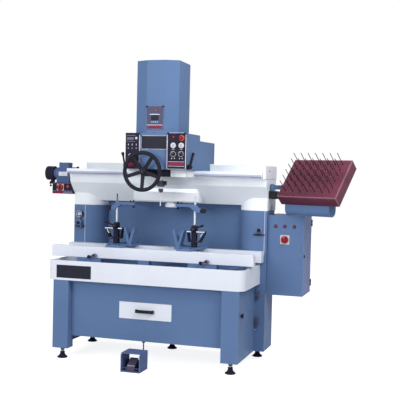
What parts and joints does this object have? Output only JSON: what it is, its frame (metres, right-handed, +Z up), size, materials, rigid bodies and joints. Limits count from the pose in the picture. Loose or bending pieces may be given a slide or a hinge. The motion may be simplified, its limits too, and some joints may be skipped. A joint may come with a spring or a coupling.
{
  "type": "valve seat and guide machine",
  "caption": "Free-standing machine tool with a travelling spindle head on a beam, bed rails with clamping fixtures, a tilted tool board, a small tool grinder and a foot switch.",
  "frame": {"origin": "middle of the footprint on the floor", "axes": "+X to the operator's right along the beam, +Y from the operator's side to the back, +Z up"},
  "size_m": [2.3447, 0.995, 2.1],
  "materials": {
    "blue_paint": "semi-gloss enamel",
    "white_paint": "semi-gloss enamel",
    "black_plastic": "moulded",
    "bright_steel": "ground",
    "dark_steel": "blackened",
    "cast_body": "machined and oiled",
    "red_plastic": "moulded",
    "white_plastic": "moulded",
    "grey_housing": "satin",
    "varnished_wood": "varnished",
    "abrasive": "bonded abrasive",
    "cable_rubber": "smooth"
  },
  "bodies": {
    "frame": {"base_cabinet": "blue_paint", "front_panel": "blue_paint", "chip_tray": "white_paint", "foot_front_left": "black_plastic", "foot_front_right": "black_plastic", "foot_rear_left": "black_plastic", "foot_rear_middle": "black_plastic", "foot_rear_right": "black_plastic", "bed_frame": "blue_paint", "front_rail": "white_paint", "rear_rail": "white_paint", "rear_body": "blue_paint", "beam": "white_paint", "front_slideway": "white_paint", "work_light": "white_paint", "electric_cabinet": "blue_paint", "drive_unit": "grey_housing", "swivel_post": "black_plastic", "grinder_switch_box": "black_plastic", "grinder_motor": "blue_paint", "grinder_guard": "black_plastic", "pedal_guard": "blue_paint", "pedal_cable": "cable_rubber", "air_unit": "black_plastic"},
    "drawer": {"drawer": "white_paint", "drawer_handle": "black_plastic"},
    "rail_clamp_left": {"rail_clamp_left": "black_plastic"},
    "rail_clamp_right": {"rail_clamp_right": "black_plastic"},
    "head": {"head_casting": "cast_body", "head_cover": "blue_paint", "column_cover": "blue_paint", "spindle_motor": "grey_housing", "right_panel": "grey_housing"},
    "quill": {"quill": "bright_steel"},
    "spindle": {"spindle": "bright_steel", "tool_holder": "dark_steel"},
    "handwheel": {"handwheel": "black_plastic", "feed_shaft": "bright_steel"},
    "left_lever": {"left_lever": "black_plastic"},
    "right_lever": {"right_lever": "black_plastic"},
    "emergency_stop": {"emergency_stop": "red_plastic"},
    "start_button": {"start_button": "white_plastic"},
    "stop_button": {"stop_button": "white_plastic"},
    "speed_knob": {"speed_knob": "black_plastic"},
    "feed_knob": {"feed_knob": "black_plastic"},
    "cabinet_door": {"cabinet_door": "blue_paint"},
    "main_switch": {"main_switch": "red_plastic"},
    "tool_tray": {"tool_tray": "blue_paint", "tool_board": "varnished_wood"},
    "grinding_wheel": {"grinding_wheel": "abrasive"},
    "grinder_switch": {"grinder_switch": "red_plastic"},
    "fixture_left": {"fixture_base_left": "blue_paint"},
    "clamp_arm_left": {"clamp_arm_left": "blue_paint"},
    "fixture_lever_left": {"fixture_lever_left": "black_plastic"},
    "fixture_right": {"fixture_base_right": "blue_paint"},
    "clamp_arm_right": {"clamp_arm_right": "blue_paint"},
    "fixture_lever_right": {"fixture_lever_right": "black_plastic"},
    "pedal_treadle": {"pedal_treadle": "black_plastic"},
    "regulator_knob": {"regulator_knob": "black_plastic"},
    "valve_knob": {"valve_knob": "black_plastic"}
  },
  "joints": [
    {"name": "drawer_slide", "type": "slide", "parent": "frame", "child": "drawer", "axis": [0, -1, 0], "range_m": [0, 0.28]},
    {"name": "rail_clamp_left_turn", "type": "hinge", "parent": "frame", "child": "rail_clamp_left", "pos_m": [-0.6, -0.1808, 0.73], "axis": [0, 1, 0], "range_deg": [-40, 40]},
    {"name": "rail_clamp_right_turn", "type": "hinge", "parent": "frame", "child": "rail_clamp_right", "pos_m": [0.232, -0.1808, 0.73], "axis": [0, 1, 0], "range_deg": [-40, 40]},
    {"name": "head_traverse", "type": "slide", "parent": "frame", "child": "head", "axis": [1, 0, 0], "range_m": [-0.45, 0.45]},
    {"name": "quill_feed", "type": "slide", "parent": "head", "child": "quill", "axis": [0, 0, 1], "range_m": [-0.12, 0.025]},
    {"name": "spindle_turn", "type": "hinge", "parent": "quill", "child": "spindle", "pos_m": [-0.148, -0.0955, 1.262], "axis": [0, 0, 1], "continuous": true},
    {"name": "handwheel_turn", "type": "hinge", "parent": "head", "child": "handwheel", "pos_m": [-0.2185, -0.2805, 1.334], "axis": [0, 1, 0], "range_deg": [-75, 347]},
    {"name": "left_lever_turn", "type": "hinge", "parent": "head", "child": "left_lever", "pos_m": [-0.372, -0.1985, 1.372], "axis": [1, 0, 0], "range_deg": [-30, 30]},
    {"name": "right_lever_turn", "type": "hinge", "parent": "head", "child": "right_lever", "pos_m": [0.076, -0.1865, 1.37], "axis": [1, 0, 0], "range_deg": [-20, 45]},
    {"name": "emergency_stop_press", "type": "slide", "parent": "head", "child": "emergency_stop", "axis": [0, 1, 0], "range_m": [0, 0.006], "stiffness_N_per_m": 600, "springref_m": -0.002},
    {"name": "start_press", "type": "slide", "parent": "head", "child": "start_button", "axis": [0, 1, 0], "range_m": [0, 0.004], "stiffness_N_per_m": 500, "springref_m": -0.002},
    {"name": "stop_press", "type": "slide", "parent": "head", "child": "stop_button", "axis": [0, 1, 0], "range_m": [0, 0.004], "stiffness_N_per_m": 500, "springref_m": -0.002},
    {"name": "speed_knob_turn", "type": "hinge", "parent": "head", "child": "speed_knob", "pos_m": [-0.013, -0.2338, 1.457], "axis": [0, 1, 0], "range_deg": [-135, 135]},
    {"name": "feed_knob_turn", "type": "hinge", "parent": "head", "child": "feed_knob", "pos_m": [0.043, -0.2338, 1.457], "axis": [0, 1, 0], "range_deg": [-135, 135]},
    {"name": "cabinet_door_swing", "type": "hinge", "parent": "frame", "child": "cabinet_door", "pos_m": [0.8243, 0.4975, 0.48], "axis": [0, 0, 1], "range_deg": [0, 110]},
    {"name": "main_switch_turn", "type": "hinge", "parent": "frame", "child": "main_switch", "pos_m": [0.69, 0.1795, 0.876], "axis": [0, 1, 0], "range_deg": [0, 90]},
    {"name": "tool_tray_swivel", "type": "hinge", "parent": "frame", "child": "tool_tray", "pos_m": [0.59, 0.1895, 1.227], "axis": [0, 0, 1], "range_deg": [-25, 20]},
    {"name": "grinding_wheel_turn", "type": "hinge", "parent": "frame", "child": "grinding_wheel", "pos_m": [-1.11, 0.1695, 1.307], "axis": [1, 0, 0], "continuous": true},
    {"name": "grinder_switch_turn", "type": "hinge", "parent": "frame", "child": "grinder_switch", "pos_m": [-1.044, 0.1245, 1.2], "axis": [0, 1, 0], "range_deg": [0, 90]},
    {"name": "fixture_left_slide", "type": "slide", "parent": "frame", "child": "fixture_left", "axis": [1, 0, 0], "range_m": [-0.1, 0.1]},
    {"name": "clamp_arm_left_slide", "type": "slide", "parent": "fixture_left", "child": "clamp_arm_left", "axis": [0, 0, 1], "range_m": [-0.08, 0.04]},
    {"name": "fixture_lever_left_turn", "type": "hinge", "parent": "fixture_left", "child": "fixture_lever_left", "pos_m": [-0.518, -0.0225, 0.937], "axis": [0, 1, 0], "range_deg": [-35, 35]},
    {"name": "fixture_right_slide", "type": "slide", "parent": "frame", "child": "fixture_right", "axis": [1, 0, 0], "range_m": [-0.1, 0.1]},
    {"name": "clamp_arm_right_slide", "type": "slide", "parent": "fixture_right", "child": "clamp_arm_right", "axis": [0, 0, 1], "range_m": [-0.08, 0.04]},
    {"name": "fixture_lever_right_turn", "type": "hinge", "parent": "fixture_right", "child": "fixture_lever_right", "pos_m": [0.078, -0.0225, 0.937], "axis": [0, 1, 0], "range_deg": [-35, 35]},
    {"name": "treadle_press", "type": "hinge", "parent": "frame", "child": "pedal_treadle", "pos_m": [-0.189, -0.4635, 0.02], "axis": [-1, 0, 0], "range_deg": [0, 12], "stiffness_Nm_per_rad": 6, "springref_deg": -11.46},
    {"name": "regulator_turn", "type": "hinge", "parent": "frame", "child": "regulator_knob", "pos_m": [-0.88, 0.1495, 0.938], "axis": [0, 1, 0], "range_deg": [-150, 150]},
    {"name": "valve_turn", "type": "hinge", "parent": "frame", "child": "valve_knob", "pos_m": [0.512, 0.1495, 0.937], "axis": [0, 1, 0], "range_deg": [0, 90]}
  ],
  "couplings": [
    {"joint": "handwheel_turn", "follows": "quill_feed", "rad_per_m": -50}
  ]
}
